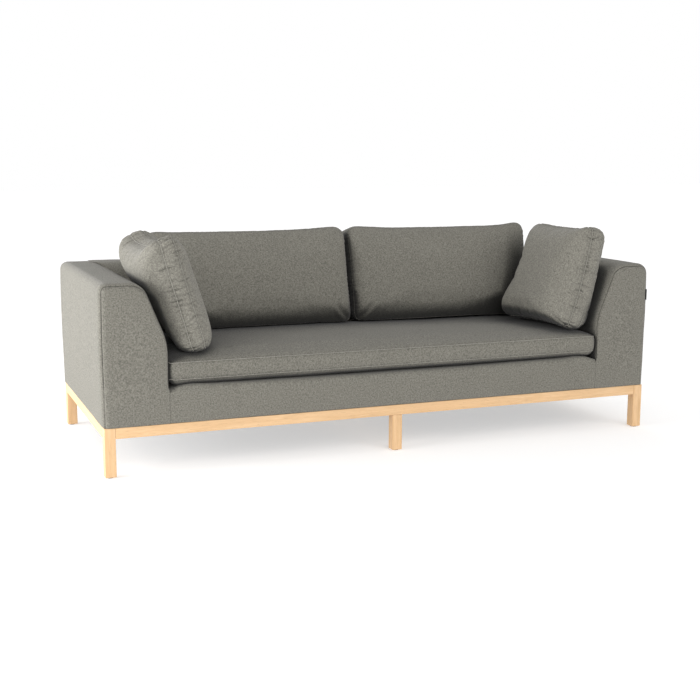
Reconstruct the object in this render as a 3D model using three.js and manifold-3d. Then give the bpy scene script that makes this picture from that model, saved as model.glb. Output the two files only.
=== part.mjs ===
// Three-seater sofa: an upholstered body on an open timber base with six square legs, one long
// seat cushion, two back cushions and two throw cushions, all loose.
// Millimetres, +Z up. X runs along the width, the front faces -Y, and the origin is on the floor
// under the middle of the sofa.
import * as THREE from 'three';
import { mergeVertices } from 'three/addons/utils/BufferGeometryUtils.js';
import Module from 'manifold-3d';

const wasm = await Module();
wasm.setup();

// ---- driving dimensions -------------------------------------------------------------------

const BODY_WIDTH = 2280; // over the upholstered arms
const BODY_DEPTH = 940;
const BODY_TOP = 699; // arms and backrest share one height
const BASE_WIDTH = 2270; // over the timber base
const BASE_DEPTH = 930;
const BASE_TOP = 183;
const TIMBER = 40; // square section of every leg and rail
const GLIDE_HEIGHT = 3;

const WALL = 242; // thickness of arms and backrest at seat level
const WALL_LEAN = 21.5; // degrees, lean of their inner faces above the seat
const WALL_BEND = 477.6; // height at which the inner faces start to lean

const FABRIC = 2.5; // upholstery cloth with its lining
const PADDING = 28; // from the outside of the cloth to the timber carcass
const BOARD = 18; // carcass boards
const GAP = 0.3; // between pieces that touch
const LOOSE = 0.5; // between cloth and what it covers

const DECK_TOP = 316.5; // the seat platform that carries the seat cushion
const SEAT_CUSHION = { width: 1790, depth: 686, bottom: 318.5, front: -463 };
// The back cushions meet a little to one side of the middle.
const BACK_CUSHION = { width: 862, height: 384, bottom: 438, lean: 14, between: 10, middle: 26 };
const THROW_CUSHION = { width: 430, height: 410, gusset: 50, radius: 52 };

const DUST_SHEET = 0.8;
const CARCASS_BOTTOM = BASE_TOP + GAP + DUST_SHEET + GAP;
const ARC_STEP = THREE.MathUtils.degToRad(15);
const SOFT_STEP = THREE.MathUtils.degToRad(30); // coarser arcs on loose cushions
const ROUND_SIDES = 12;

// ---- materials ----------------------------------------------------------------------------

const finish = (color, roughness) => new THREE.MeshStandardMaterial({ color, roughness, metalness: 0 });
const OAK = finish(0xe6c294, 0.5);
const PINE = finish(0xd8b98a, 0.8);
const CLOTH = finish(0x8b8881, 0.95);
const FOAM = finish(0xe8e2c8, 0.9);
const FILLING = finish(0xf2f0ea, 0.95);
const WEBBING = finish(0x33302c, 0.85);
const LINING = finish(0x242424, 0.9);
const PLASTIC = finish(0x3a3836, 0.6);
const TAG = finish(0x1c1c1e, 0.8);

// ---- solids -------------------------------------------------------------------------------

function solid(geometry) {
  geometry.deleteAttribute('normal');
  geometry.deleteAttribute('uv');
  const merged = mergeVertices(geometry);
  return new wasm.Manifold(new wasm.Mesh({
    numProp: 3,
    vertProperties: merged.attributes.position.array,
    triVerts: Uint32Array.from(merged.index.array),
  }));
}

function geometryOf(body) {
  const { vertProperties, triVerts } = body.getMesh();
  const geometry = new THREE.BufferGeometry();
  geometry.setAttribute('position', new THREE.BufferAttribute(vertProperties, 3));
  geometry.setIndex(new THREE.BufferAttribute(triVerts, 1));
  geometry.computeVertexNormals();
  return geometry;
}

// A box between two limits on each axis.
function box([x0, x1], [y0, y1], [z0, z1]) {
  const geometry = new THREE.BoxGeometry(x1 - x0, y1 - y0, z1 - z0);
  return solid(geometry.translate((x0 + x1) / 2, (y0 + y1) / 2, (z0 + z1) / 2));
}

// A round bar along Z.
function bar(x, y, [z0, z1], radius) {
  const geometry = new THREE.CylinderGeometry(radius, radius, z1 - z0, ROUND_SIDES);
  geometry.rotateX(Math.PI / 2);
  return solid(geometry.translate(x, y, (z0 + z1) / 2));
}

// Points around a convex polygon whose corners, anticlockwise, are [x, y, radius]. The outline is
// grown by `grow`, and each arc keeps its centre.
function outline(corners, grow = 0, arcStep = ARC_STEP) {
  const points = [];
  corners.forEach(([x, y, radius], i) => {
    const corner = new THREE.Vector2(x, y);
    const before = new THREE.Vector2(...corners.at(i - 1)).sub(corner).negate().normalize();
    const after = new THREE.Vector2(...corners[(i + 1) % corners.length]).sub(corner).normalize();
    const normals = [before, after].map((edge) => new THREE.Vector2(edge.y, -edge.x));
    const toCorner = normals[0].clone().add(normals[1]).divideScalar(1 + normals[0].dot(normals[1]));
    const arc = Math.max(radius + grow, 0);
    const centre = corner.addScaledVector(toCorner, grow - arc);
    const start = normals[0].angle();
    const turn = THREE.MathUtils.euclideanModulo(normals[1].angle() - start, 2 * Math.PI);
    if (arc === 0) {
      points.push(centre);
      return;
    }
    const steps = Math.ceil(turn / arcStep);
    for (let step = 0; step <= steps; step += 1) {
      const angle = start + (turn * step) / steps;
      points.push(new THREE.Vector2(Math.cos(angle), Math.sin(angle)).multiplyScalar(arc).add(centre));
    }
  });
  return points;
}

// Extrudes an outline along one axis. The outline's two coordinates are the other two axes in
// X, Y, Z order.
function prism(points, axis, [from, to]) {
  const geometry = new THREE.ExtrudeGeometry(new THREE.Shape(points), {
    depth: to - from,
    bevelEnabled: false,
  });
  const [x, y, z] = [[1, 0, 0], [0, 1, 0], [0, 0, 1]].map((v) => new THREE.Vector3(...v));
  if (axis === 'x') {
    geometry.translate(0, 0, from).applyMatrix4(new THREE.Matrix4().makeBasis(y, z, x));
  } else if (axis === 'y') {
    geometry.translate(0, 0, -to).applyMatrix4(new THREE.Matrix4().makeBasis(x, z, y.negate()));
  } else {
    geometry.translate(0, 0, from);
  }
  return solid(geometry);
}

const mirrored = (points) => points.map((p) => new THREE.Vector2(-p.x, p.y));

const sofa = new THREE.Group();

function piece(name, body, material) {
  const mesh = new THREE.Mesh(geometryOf(body), material);
  mesh.name = name;
  sofa.add(mesh);
  return mesh;
}

// ---- timber base --------------------------------------------------------------------------

const RAIL_BOTTOM = BASE_TOP - TIMBER;
const LEG_BOTTOM = GLIDE_HEIGHT + GAP;
const LEG_X = BASE_WIDTH / 2 - TIMBER / 2;
const LEG_Y = BASE_DEPTH / 2 - TIMBER / 2;
const TENON = { thick: 12, tall: 24, long: 12, crossLong: 8 };
const DOWEL = { radius: 10, long: 20 };
const NAIL = { radius: 2, long: 14 };
const RAIL_MIDDLE = (RAIL_BOTTOM + BASE_TOP) / 2;
const SIDES = { left: -1, right: 1 };
const ENDS = { front: -1, rear: 1 };

const around = (centre, size) => [centre - size / 2, centre + size / 2];
const span = (a, b) => [Math.min(a, b), Math.max(a, b)];

// A tenon that sticks out from a rail's shoulder at `from`, towards `sign` along the axis.
// `grow` makes the mortise that receives it.
function tenon(axis, across, from, sign, long, grow = 0) {
  const thick = around(across, TENON.thick + 2 * grow);
  const tall = around(RAIL_MIDDLE, TENON.tall + 2 * grow);
  const reach = span(from - sign * 1, from + sign * (long + 2 * grow));
  return axis === 'x' ? box(reach, thick, tall) : box(thick, reach, tall);
}

function cornerLeg(side, end) {
  const x = side * LEG_X;
  const y = end * LEG_Y;
  return box(around(x, TIMBER), around(y, TIMBER), [LEG_BOTTOM, BASE_TOP])
    .subtract(tenon('x', y, x - side * (TIMBER / 2), side, TENON.long, GAP))
    .subtract(tenon('y', x, y - end * (TIMBER / 2), end, TENON.long, GAP))
    .subtract(bar(x, y, [0, LEG_BOTTOM + NAIL.long], NAIL.radius + GAP));
}

function centreLeg(end) {
  const y = end * LEG_Y;
  const top = RAIL_BOTTOM - GAP;
  return box(around(0, TIMBER), around(y, TIMBER), [LEG_BOTTOM, top])
    .add(bar(0, y, [top - 1, top + DOWEL.long], DOWEL.radius))
    .subtract(bar(0, y, [0, LEG_BOTTOM + NAIL.long], NAIL.radius + GAP));
}

function longRail(end) {
  const y = end * LEG_Y;
  const shoulder = LEG_X - TIMBER / 2 - GAP;
  let rail = box([-shoulder, shoulder], around(y, TIMBER), [RAIL_BOTTOM, BASE_TOP]);
  for (const side of Object.values(SIDES)) {
    rail = rail.add(tenon('x', y, side * shoulder, side, TENON.long));
  }
  return rail
    .subtract(tenon('y', 0, y - end * (TIMBER / 2), end, TENON.crossLong, GAP))
    .subtract(bar(0, y, [RAIL_BOTTOM - 1, RAIL_BOTTOM + DOWEL.long + GAP], DOWEL.radius + GAP));
}

function shortRail(x, long) {
  const shoulder = LEG_Y - TIMBER / 2 - GAP;
  let rail = box(around(x, TIMBER), [-shoulder, shoulder], [RAIL_BOTTOM, BASE_TOP]);
  for (const end of Object.values(ENDS)) {
    rail = rail.add(tenon('y', x, end * shoulder, end, long));
  }
  return rail;
}

// A block set across each inner corner, glued and screwed to both rails.
function cornerBlock(side, end) {
  const reach = 84;
  const inner = 56;
  const x = side * (LEG_X - TIMBER / 2 - GAP);
  const y = end * (LEG_Y - TIMBER / 2 - GAP);
  const points = [[inner, 0], [reach, 0], [0, reach], [0, inner]];
  return prism(points.map(([a, b]) => new THREE.Vector2(x - side * a, y - end * b)), 'z', [
    RAIL_BOTTOM + 6,
    BASE_TOP - 2,
  ]);
}

function glide(x, y) {
  const pad = 15;
  const profile = [[0, 0], [pad - 2, 0], [pad, 1.5], [pad, GLIDE_HEIGHT], [NAIL.radius, GLIDE_HEIGHT],
    [NAIL.radius, NAIL.long], [0, NAIL.long + 2]];
  const geometry = new THREE.LatheGeometry(profile.map(([r, h]) => new THREE.Vector2(r, h)), ROUND_SIDES);
  return solid(geometry.rotateX(Math.PI / 2).translate(x, y, 0));
}

for (const [endName, end] of Object.entries(ENDS)) {
  piece(`${endName}_rail`, longRail(end), OAK);
  for (const [sideName, side] of Object.entries(SIDES)) {
    piece(`${endName}_${sideName}_leg`, cornerLeg(side, end), OAK);
    piece(`${endName}_${sideName}_glide`, glide(side * LEG_X, end * LEG_Y), PLASTIC);
    piece(`${endName}_${sideName}_corner_block`, cornerBlock(side, end), PINE);
  }
  piece(`${endName}_centre_leg`, centreLeg(end), OAK);
  piece(`${endName}_centre_glide`, glide(0, end * LEG_Y), PLASTIC);
}
for (const [sideName, side] of Object.entries(SIDES)) {
  piece(`${sideName}_side_rail`, shortRail(side * LEG_X, TENON.long), OAK);
}
piece('cross_rail', shortRail(0, TENON.crossLong), PINE);
piece('dust_sheet', box([-1130, 1130], [-460, 460], around(BASE_TOP + GAP + DUST_SHEET / 2, DUST_SHEET)), LINING);

// ---- upholstered walls --------------------------------------------------------------------

const HALF_WIDTH = BODY_WIDTH / 2;
const HALF_DEPTH = BODY_DEPTH / 2;
const BELOW = CARCASS_BOTTOM - 50; // where a cut runs out through an open bottom
const FOAM_INSET = -(FABRIC + LOOSE);

// The section that both arms and the backrest share: u is measured from the outer face. The
// inner face stands upright at seat level, then leans outwards to a soft inner top corner.
function wallSection(grow, bottom) {
  const lean = Math.tan(THREE.MathUtils.degToRad(WALL_LEAN));
  const topInner = WALL - (BODY_TOP - WALL_BEND) * lean;
  const foot = bottom + grow;
  return outline([
    [0, foot, 5],
    [WALL, foot, 5],
    [WALL, WALL_BEND, 250],
    [topInner, BODY_TOP, 70],
    [0, BODY_TOP, 45],
  ], grow);
}

// The whole body's rounded block, which trims the ends of arms and backrest.
function envelope(grow, bottom) {
  const foot = bottom + grow;
  const side = outline([
    [-HALF_DEPTH, foot, 5],
    [HALF_DEPTH, foot, 5],
    [HALF_DEPTH, BODY_TOP, 45],
    [-HALF_DEPTH, BODY_TOP, 20],
  ], grow);
  const plan = outline([
    [-HALF_WIDTH, -HALF_DEPTH, 20],
    [HALF_WIDTH, -HALF_DEPTH, 20],
    [HALF_WIDTH, HALF_DEPTH, 25],
    [-HALF_WIDTH, HALF_DEPTH, 25],
  ], grow);
  return prism(side, 'x', [-HALF_WIDTH - 60, HALF_WIDTH + 60])
    .intersect(prism(plan, 'z', [0, BODY_TOP + 60]));
}

function arm(side, grow, bottom) {
  const points = wallSection(grow, bottom).map((p) => new THREE.Vector2(p.x - HALF_WIDTH, p.y));
  const section = side < 0 ? points : mirrored(points);
  return prism(section, 'y', [-HALF_DEPTH - 60, HALF_DEPTH + 60]).intersect(envelope(grow, bottom));
}

// The backrest stands between the arms, `clear` away from them.
function backrest(grow, bottom, clear) {
  const section = wallSection(grow, bottom).map((p) => new THREE.Vector2(HALF_DEPTH - p.x, p.y));
  const underArms = HALF_WIDTH - 100; // past the arms' inner top edge
  return prism(section, 'x', [-underArms, underArms])
    .intersect(envelope(grow, bottom))
    .subtract(arm(SIDES.left, clear, BELOW))
    .subtract(arm(SIDES.right, clear, BELOW));
}

// Ribs split a wall's timber carcass into bays that open downwards.
function bays(core, axis, [from, to], count) {
  const pitch = (to - from + BOARD) / count;
  const all = [-HALF_WIDTH, HALF_WIDTH];
  return Array.from({ length: count }, (_, i) => from + i * pitch).map((start) => {
    const bay = [start, start + pitch - BOARD];
    return core.intersect(axis === 'x' ? box(bay, all, [0, BODY_TOP]) : box(all, bay, [0, BODY_TOP]));
  });
}

const without = (body, cuts) => cuts.reduce((rest, cut) => rest.subtract(cut), body);

for (const [sideName, side] of Object.entries(SIDES)) {
  const reach = HALF_DEPTH - PADDING - BOARD;
  const hollow = bays(arm(side, -PADDING - BOARD, BELOW), 'y', [-reach, reach], 4);
  piece(`${sideName}_arm_frame`, without(arm(side, -PADDING, CARCASS_BOTTOM), hollow), PINE);
  piece(`${sideName}_arm_foam`,
    arm(side, FOAM_INSET, CARCASS_BOTTOM).subtract(arm(side, GAP - PADDING, BELOW)), FOAM);
  piece(`${sideName}_arm_cover`,
    arm(side, 0, CARCASS_BOTTOM).subtract(arm(side, -FABRIC, BELOW)), CLOTH);
}

const BACK_REACH = HALF_WIDTH - WALL - PADDING - BOARD;
const backHollow = bays(backrest(-PADDING - BOARD, BELOW, PADDING + BOARD), 'x',
  [-BACK_REACH, BACK_REACH], 8);
piece('back_frame', without(backrest(-PADDING, CARCASS_BOTTOM, PADDING), backHollow), PINE);
piece('back_foam',
  backrest(FOAM_INSET, CARCASS_BOTTOM, LOOSE - FOAM_INSET)
    .subtract(backrest(GAP - PADDING, BELOW, PADDING - GAP)), FOAM);
piece('back_cover',
  backrest(0, CARCASS_BOTTOM, LOOSE).subtract(backrest(-FABRIC, BELOW, LOOSE + FABRIC)), CLOTH);

// ---- seat platform ------------------------------------------------------------------------

const SEAT_HALF = HALF_WIDTH - WALL - LOOSE; // half the width between the arms
const SEAT_REAR = HALF_DEPTH - WALL - LOOSE;
const SEAT_FRONT = -HALF_DEPTH;
const WEB = { width: 70, thick: 2, count: 5 };
const FRONT_PAD = 12;
const SEAT_EDGE = 14; // radius of the platform's front top edge
const BOARD_TOP = 289;
const PAD_BOTTOM = BOARD_TOP + WEB.thick + 3 * GAP;
const BOARD_FRONT = SEAT_FRONT + FABRIC + LOOSE + FRONT_PAD;

// The platform's section from front to rear, `inset` from its face and up to `top`.
function platform(inset, top, [bottom, rear], half) {
  return prism(outline([
    [SEAT_FRONT + inset, bottom, 0],
    [rear, bottom, 0],
    [rear, top, 0],
    [SEAT_FRONT + inset, top, Math.max(SEAT_EDGE - inset, 0)],
  ]), 'x', [-half, half]);
}

// A layer that covers the front and runs back over the platform: an L standing on its short leg.
function apronLayer(inset, thick, under, half) {
  return platform(inset, DECK_TOP - inset, [CARCASS_BOTTOM, SEAT_REAR], half)
    .subtract(platform(inset + thick, under, [BELOW, SEAT_REAR + 1], half + 1));
}

const padInset = FABRIC + LOOSE;
piece('seat_cover', apronLayer(0, FABRIC, DECK_TOP - FABRIC, SEAT_HALF), CLOTH);
piece('seat_pad', apronLayer(padInset, FRONT_PAD - GAP, PAD_BOTTOM, SEAT_HALF - 1), FOAM);

const boardHeights = [CARCASS_BOTTOM, BOARD_TOP];
const boardRear = SEAT_REAR - LOOSE;
piece('seat_front_board',
  box([-SEAT_HALF + 1, SEAT_HALF - 1], [BOARD_FRONT, BOARD_FRONT + BOARD], boardHeights), PINE);
piece('seat_rear_board',
  box([-SEAT_HALF + 1, SEAT_HALF - 1], [boardRear - BOARD, boardRear], boardHeights), PINE);
for (const [sideName, side] of Object.entries(SIDES)) {
  const outer = side * (SEAT_HALF - 1);
  piece(`seat_${sideName}_board`,
    box(span(outer, outer - side * BOARD),
      [BOARD_FRONT + BOARD + GAP, boardRear - BOARD - GAP], boardHeights), PINE);
}
const webPitch = (2 * SEAT_HALF) / (WEB.count + 1);
for (let i = 1; i <= WEB.count; i += 1) {
  const x = -SEAT_HALF + i * webPitch;
  piece(`seat_webbing_${i}`,
    box(around(x, WEB.width), [BOARD_FRONT, boardRear], [BOARD_TOP + GAP, BOARD_TOP + GAP + WEB.thick]),
    WEBBING);
}

// ---- loose cushions -----------------------------------------------------------------------

// A box cushion about its own middle: X is its width, Y its height and Z its thickness. A straight
// gusset joins two crowned faces, which rise by `front` and `back` beyond it.
function cushionBlock({ width, height, gusset, front, back, radius, soft = 0.75 }, inset) {
  const halfX = width / 2 - inset;
  const halfY = height / 2 - inset;
  const rings = [-4, -3, -2, -1, 1, 2, 3, 4].map((level) => {
    const t = (Math.abs(level) - 1) / 3;
    const rise = ((level > 0 ? front : back) - inset) * (1 - (1 - t) ** 2);
    const shrink = t * soft * Math.min(halfX, halfY);
    const [x, y] = [halfX - shrink, halfY - shrink];
    const corner = Math.min(radius, x, y);
    const ring = [[-x, -y, corner], [x, -y, corner], [x, y, corner], [-x, y, corner]];
    const points = outline(ring, 0, SOFT_STEP);
    return points.map((p) => new THREE.Vector3(p.x, p.y, Math.sign(level) * (gusset / 2 + rise)));
  });
  const count = rings[0].length;
  const points = rings.flat();
  const triangles = [];
  for (let ring = 0; ring + 1 < rings.length; ring += 1) {
    for (let i = 0; i < count; i += 1) {
      const [a, b] = [ring * count + i, ring * count + ((i + 1) % count)];
      triangles.push(a, b, a + count, b, b + count, a + count);
    }
  }
  const last = points.length - count;
  const [bottom, top] = [points.length, points.length + 1];
  points.push(new THREE.Vector3(0, 0, rings[0][0].z), new THREE.Vector3(0, 0, rings.at(-1)[0].z));
  for (let i = 0; i < count; i += 1) {
    const next = (i + 1) % count;
    triangles.push(bottom, next, i, top, last + i, last + next);
  }
  const geometry = new THREE.BufferGeometry().setFromPoints(points);
  geometry.setIndex(triangles);
  return solid(geometry);
}

// Cover with a zip slit in one long side of its gusset, the zip in the slit, and the filling.
// `place` moves each solid to where the cushion lies.
function cushion(name, size, zipSide, place) {
  const slit = { long: size.width - 140, tall: 8 };
  const wall = span(zipSide * (size.height / 2 - FABRIC), zipSide * (size.height / 2));
  const through = [wall[0] - 1, wall[1] + 1];
  const cover = cushionBlock(size, 0)
    .subtract(cushionBlock(size, FABRIC))
    .subtract(box(around(0, slit.long), through, around(0, slit.tall)));
  const zip = box(around(0, slit.long - 2 * GAP), [wall[0] + GAP, wall[1] - GAP],
    around(0, slit.tall - 2 * GAP));
  place(piece(`${name}_cover`, cover, CLOTH));
  place(piece(`${name}_core`, cushionBlock(size, FABRIC + LOOSE), FILLING));
  place(piece(`${name}_zip`, zip, PLASTIC));
}

const seatSize = {
  width: SEAT_CUSHION.width, height: SEAT_CUSHION.depth, gusset: 62, front: 31, back: 24, radius: 22,
  soft: 0.88,
};
cushion('seat_cushion', seatSize, 1, (mesh) => {
  const middle = SEAT_CUSHION.bottom + seatSize.back + seatSize.gusset / 2;
  mesh.position.set(0, SEAT_CUSHION.front + SEAT_CUSHION.depth / 2, middle);
});

// A back cushion stands on the seat cushion with a level bottom, and its faces lean back.
const backSize = { ...BACK_CUSHION, gusset: 120, front: 38, back: 42, radius: 45 };
const BACK_FOOT_Y = 127; // middle of its gusset at its bottom
for (const [sideName, side] of Object.entries(SIDES)) {
  cushion(`${sideName}_back_cushion`, backSize, -1, (mesh) => {
    const lean = Math.tan(THREE.MathUtils.degToRad(BACK_CUSHION.lean));
    const shear = new THREE.Matrix4().makeShear(0, 0, 0, 0, 0, lean);
    mesh.geometry.rotateX(Math.PI / 2).translate(0, 0, BACK_CUSHION.height / 2).applyMatrix4(shear);
    const x = side * (BACK_CUSHION.between / 2 + BACK_CUSHION.width / 2);
    mesh.position.set(x + BACK_CUSHION.middle, BACK_FOOT_Y, BACK_CUSHION.bottom);
  });
}

// A throw cushion stands on edge and leans its outer face on an arm. `lean` tips its top towards
// that arm, and `turn` swings it about Z. `outer` and `inner` are the crowns of its two faces.
const throws = {
  left: { x: -831.5, y: -231, z: 626, lean: 15.9, turn: 0, outer: 84, inner: 64 },
  right: { x: 858, y: -225, z: 629, lean: 15.7, turn: 3, outer: 44, inner: 98 },
};
for (const [sideName, { x, y, z, lean, turn, outer, inner }] of Object.entries(throws)) {
  const side = SIDES[sideName];
  const crowns = side < 0 ? { front: inner, back: outer } : { front: outer, back: inner };
  const size = { ...THROW_CUSHION, ...crowns };
  cushion(`${sideName}_throw_cushion`, size, -1, (mesh) => {
    // its width runs front to back, its height up, and its thickness across the sofa
    mesh.geometry.applyMatrix4(new THREE.Matrix4().makeBasis(
      new THREE.Vector3(0, 1, 0), new THREE.Vector3(0, 0, 1), new THREE.Vector3(1, 0, 0),
    ));
    mesh.rotation.set(0, THREE.MathUtils.degToRad(side * lean), THREE.MathUtils.degToRad(turn), 'ZYX');
    mesh.position.set(x, y, z);
  });
}

// ---- blank tag sewn into the right arm's front seam ----------------------------------------

const tag = piece('side_tag', box(around(0, 14), around(0, 1), [545, 590]), TAG);
const tagStand = 20 - (20 + GAP + 0.5) * Math.SQRT1_2; // in from the body's two faces
tag.rotation.z = Math.PI / 4;
tag.position.set(HALF_WIDTH - tagStand, tagStand - HALF_DEPTH, 0);

export default sofa;
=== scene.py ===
# Three-seater sofa on a timber base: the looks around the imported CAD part. Metres, +Z up, front
# towards -Y. Upholstered pieces are meshed here, inflated with Blender's cloth where they are loose
# cushions, pressed against what they rest on, and seamed.
import math

import bmesh
import bpy
import numpy as np
from mathutils import Matrix, Vector, noise
from mathutils.bvhtree import BVHTree
from mathutils.kdtree import KDTree


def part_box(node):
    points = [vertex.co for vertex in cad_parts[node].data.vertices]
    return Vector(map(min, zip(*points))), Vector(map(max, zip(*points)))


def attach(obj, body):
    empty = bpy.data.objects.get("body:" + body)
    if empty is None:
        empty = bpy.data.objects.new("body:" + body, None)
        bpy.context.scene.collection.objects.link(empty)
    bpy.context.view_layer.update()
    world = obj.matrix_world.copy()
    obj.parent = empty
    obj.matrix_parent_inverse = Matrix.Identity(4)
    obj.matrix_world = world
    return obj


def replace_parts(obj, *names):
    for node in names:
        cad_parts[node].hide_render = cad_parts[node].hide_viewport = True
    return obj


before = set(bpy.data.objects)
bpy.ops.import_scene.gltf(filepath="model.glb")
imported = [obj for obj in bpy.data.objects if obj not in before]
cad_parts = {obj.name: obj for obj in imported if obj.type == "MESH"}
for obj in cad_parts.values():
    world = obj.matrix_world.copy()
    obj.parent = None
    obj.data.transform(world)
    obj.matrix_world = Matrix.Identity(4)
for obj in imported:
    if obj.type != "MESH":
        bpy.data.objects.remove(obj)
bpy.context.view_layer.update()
scene = bpy.context.scene

SIDES = {"left": -1, "right": 1}
ENDS = {"front": -1, "rear": 1}

# ---- sizes, from the frame where it has them -------------------------------------------------

arm_low, arm_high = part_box("right_arm_cover")
HALF_WIDTH = arm_high.x
HALF_DEPTH = arm_high.y
BODY_TOP = arm_high.z
HEM = arm_low.z  # where the upholstery ends, just above the base
WALL = arm_high.x - arm_low.x  # thickness of arms and backrest at seat level
WALL_LEAN = math.radians(21.5)  # lean of their inner faces
WALL_BEND = 0.4776  # height at which the inner faces start to lean
WALL_TOP = WALL - (BODY_TOP - WALL_BEND) * math.tan(WALL_LEAN)
HEM_RADIUS = 0.005
EDGE = 0.028  # radius of the body's front and rear edges, and of the walls' outer top one
# The wall's section: distance from its outer face, height, and the radius of that corner.
WALL_CORNERS = [
    (0, HEM, HEM_RADIUS),
    (WALL, HEM, HEM_RADIUS),
    (WALL, WALL_BEND, 0.25),
    (WALL_TOP, BODY_TOP, 0.07),
    (0, BODY_TOP, EDGE),
]
SEAT_HALF, SEAT_REAR, DECK_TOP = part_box("seat_cover")[1]
THROW_SIZE = (0.43, 0.41)  # width and height
BACK_LEAN = math.radians(14)
CLEAR = 0.0006  # between pieces that rest on each other
TINY = 1e-9  # keeps lengths from being divided by 0


# ---- materials -------------------------------------------------------------------------------


class Look:
    """A Principled material and the nodes that feed it."""

    def __init__(self, name, roughness, **uniform):
        self.material = bpy.data.materials.new(name)
        self.material.use_nodes = True
        self.tree = self.material.node_tree
        self.surface = self.tree.nodes["Principled BSDF"]
        self.surface.inputs["Roughness"].default_value = roughness
        for socket, value in uniform.items():
            self.surface.inputs[socket.replace("_", " ")].default_value = value
        self.place = self.node("TexCoord")["Object"]

    def node(self, kind, inputs=None, **settings):
        made = self.tree.nodes.new("ShaderNode" + kind)
        for key, value in settings.items():
            setattr(made, key, value)
        for key, value in (inputs or {}).items():
            if isinstance(value, bpy.types.NodeSocket):
                self.tree.links.new(value, made.inputs[key])
            else:
                made.inputs[key].default_value = value
        return made.outputs

    def noise(self, scale, detail=2.0, rough=0.5, stretch=None, distortion=0.0):
        """Noise from 0 to 1, with about `scale` spots per metre."""
        place = self.place
        if stretch:
            place = self.node("Mapping", {"Vector": place, "Scale": stretch})["Vector"]
        inputs = {"Vector": place, "Scale": scale, "Detail": detail, "Roughness": rough}
        return self.node("TexNoise", {**inputs, "Distortion": distortion})["Fac"]

    def math(self, operation, *values):
        return self.node("Math", dict(enumerate(values)), operation=operation)["Value"]

    def times(self, a, b):
        return self.math("MULTIPLY", a, b)

    def vector(self, operation, *values, output="Vector"):
        return self.node("VectorMath", dict(enumerate(values)), operation=operation)[output]

    def ramp(self, factor, *stops):
        """Colours between (position, (r, g, b)) stops."""
        made = self.tree.nodes.new("ShaderNodeValToRGB")
        self.tree.links.new(factor, made.inputs["Fac"])
        elements = made.color_ramp.elements
        while len(elements) < len(stops):
            elements.new(0.5)
        for element, (position, colour) in zip(elements, stops):
            element.position = position
            element.color = (*colour, 1)
        return made.outputs["Color"]

    def shaded(self, colour, shade):
        """The colour times a shade, which is 1 where it stays as it is."""
        tint = self.node("CombineColor", {"Red": shade, "Green": shade, "Blue": shade})["Color"]
        sockets = {0: 1.0, 6: colour, 7: tint}  # the Mix node's factor, A and B for colours
        return self.node("Mix", sockets, data_type="RGBA", blend_type="MULTIPLY")[2]

    def between(self, factor, low, high, start=0.0, end=1.0):
        """A number that runs from low to high as factor runs from start to end."""
        inputs = {"Value": factor, "From Min": start, "From Max": end, "To Min": low, "To Max": high}
        return self.node("MapRange", inputs)["Result"]

    def finish(self, colour, height=None, depth=0.0005, roughness=None):
        self.tree.links.new(colour, self.surface.inputs["Base Color"])
        if roughness is not None:
            self.tree.links.new(roughness, self.surface.inputs["Roughness"])
        if height is not None:
            bump = self.node("Bump", {"Height": height, "Distance": depth, "Strength": 1.0})
            self.tree.links.new(bump["Normal"], self.surface.inputs["Normal"])
        return self.material


def weave_height(look, pitch):
    """Over-and-under threads of a plain weave on whichever plane the surface faces, from 0 to 1."""
    turns = look.vector("SCALE", look.place)
    turns.node.inputs["Scale"].default_value = 2 * math.pi / pitch
    waves = look.node("SeparateXYZ", {"Vector": look.vector("SINE", turns)})
    facing = look.vector("ABSOLUTE", look.node("TexCoord")["Normal"])
    facing = look.vector("MULTIPLY", facing, facing)
    first = look.node("CombineXYZ", {"X": waves["Y"], "Y": waves["Z"], "Z": waves["X"]})["Vector"]
    second = look.node("CombineXYZ", {"X": waves["Z"], "Y": waves["X"], "Z": waves["Y"]})["Vector"]
    crossing = look.vector("DOT_PRODUCT", look.vector("MULTIPLY", first, second), facing,
                           output="Value")
    return look.between(crossing, 0.5, 1.0)


FIBRES, YARNS, CLOUDS = 700, 185, 5.5  # spots per metre of the cloth's three sizes of noise
# Painted shade: how much of the cloth's colour is left where shade falls in creases and hollow
# places.
PAINTED_CREASE_SHADE = 0.35  # how much of its colour is left in a crease
PAINTED_HOLLOW_SHADE = 0.12  # and in a hollow, where less than CLOSED of the sky above it is free
CLOSED, OPEN = 0.45, 0.90


def melange_cloth(name, dark, light, weave=0.0026, painted_shade_in_hollows=True):
    """Upholstery woven from yarns spun of lighter and darker fibres, with painted shade in its
    creases, and in hollow places, where other pieces stand nearer than the piece's own "reach"."""
    look = Look(name, 0.95, Sheen_Weight=0.12, Sheen_Roughness=0.6, Specular_IOR_Level=0.15)
    fibre = look.noise(FIBRES, 2, 0.6)
    yarn = look.noise(YARNS, 2, 0.6)
    cloud = look.noise(CLOUDS, 3, 0.5)
    blend = look.math("ADD", look.times(fibre, 0.45), look.times(yarn, 0.55))
    colour = look.ramp(blend, (0.36, dark), (0.64, light))
    threads = weave_height(look, weave)
    shade = look.times(look.between(cloud, 0.95, 1.05), look.between(threads, 0.9, 1.08))
    # painted shade in creases, read from the crease attribute
    crease = look.node("Attribute", attribute_name="crease")["Fac"]
    shade = look.times(shade, look.between(crease, 1.0, PAINTED_CREASE_SHADE))
    # painted shade in hollow places: ambient occlusion within each piece's reach makes the colour
    # darker
    if painted_shade_in_hollows:
        reach = look.node("Attribute", attribute_name="reach")["Fac"]
        clear = look.node("AmbientOcclusion", {"Distance": reach}, samples=8)["AO"]
        shade = look.times(shade, look.between(clear, PAINTED_HOLLOW_SHADE, 1.0, CLOSED, OPEN))
    height = look.math("ADD", threads, look.times(fibre, 0.7))
    return look.finish(look.shaded(colour, shade), height, 0.0004)


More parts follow.
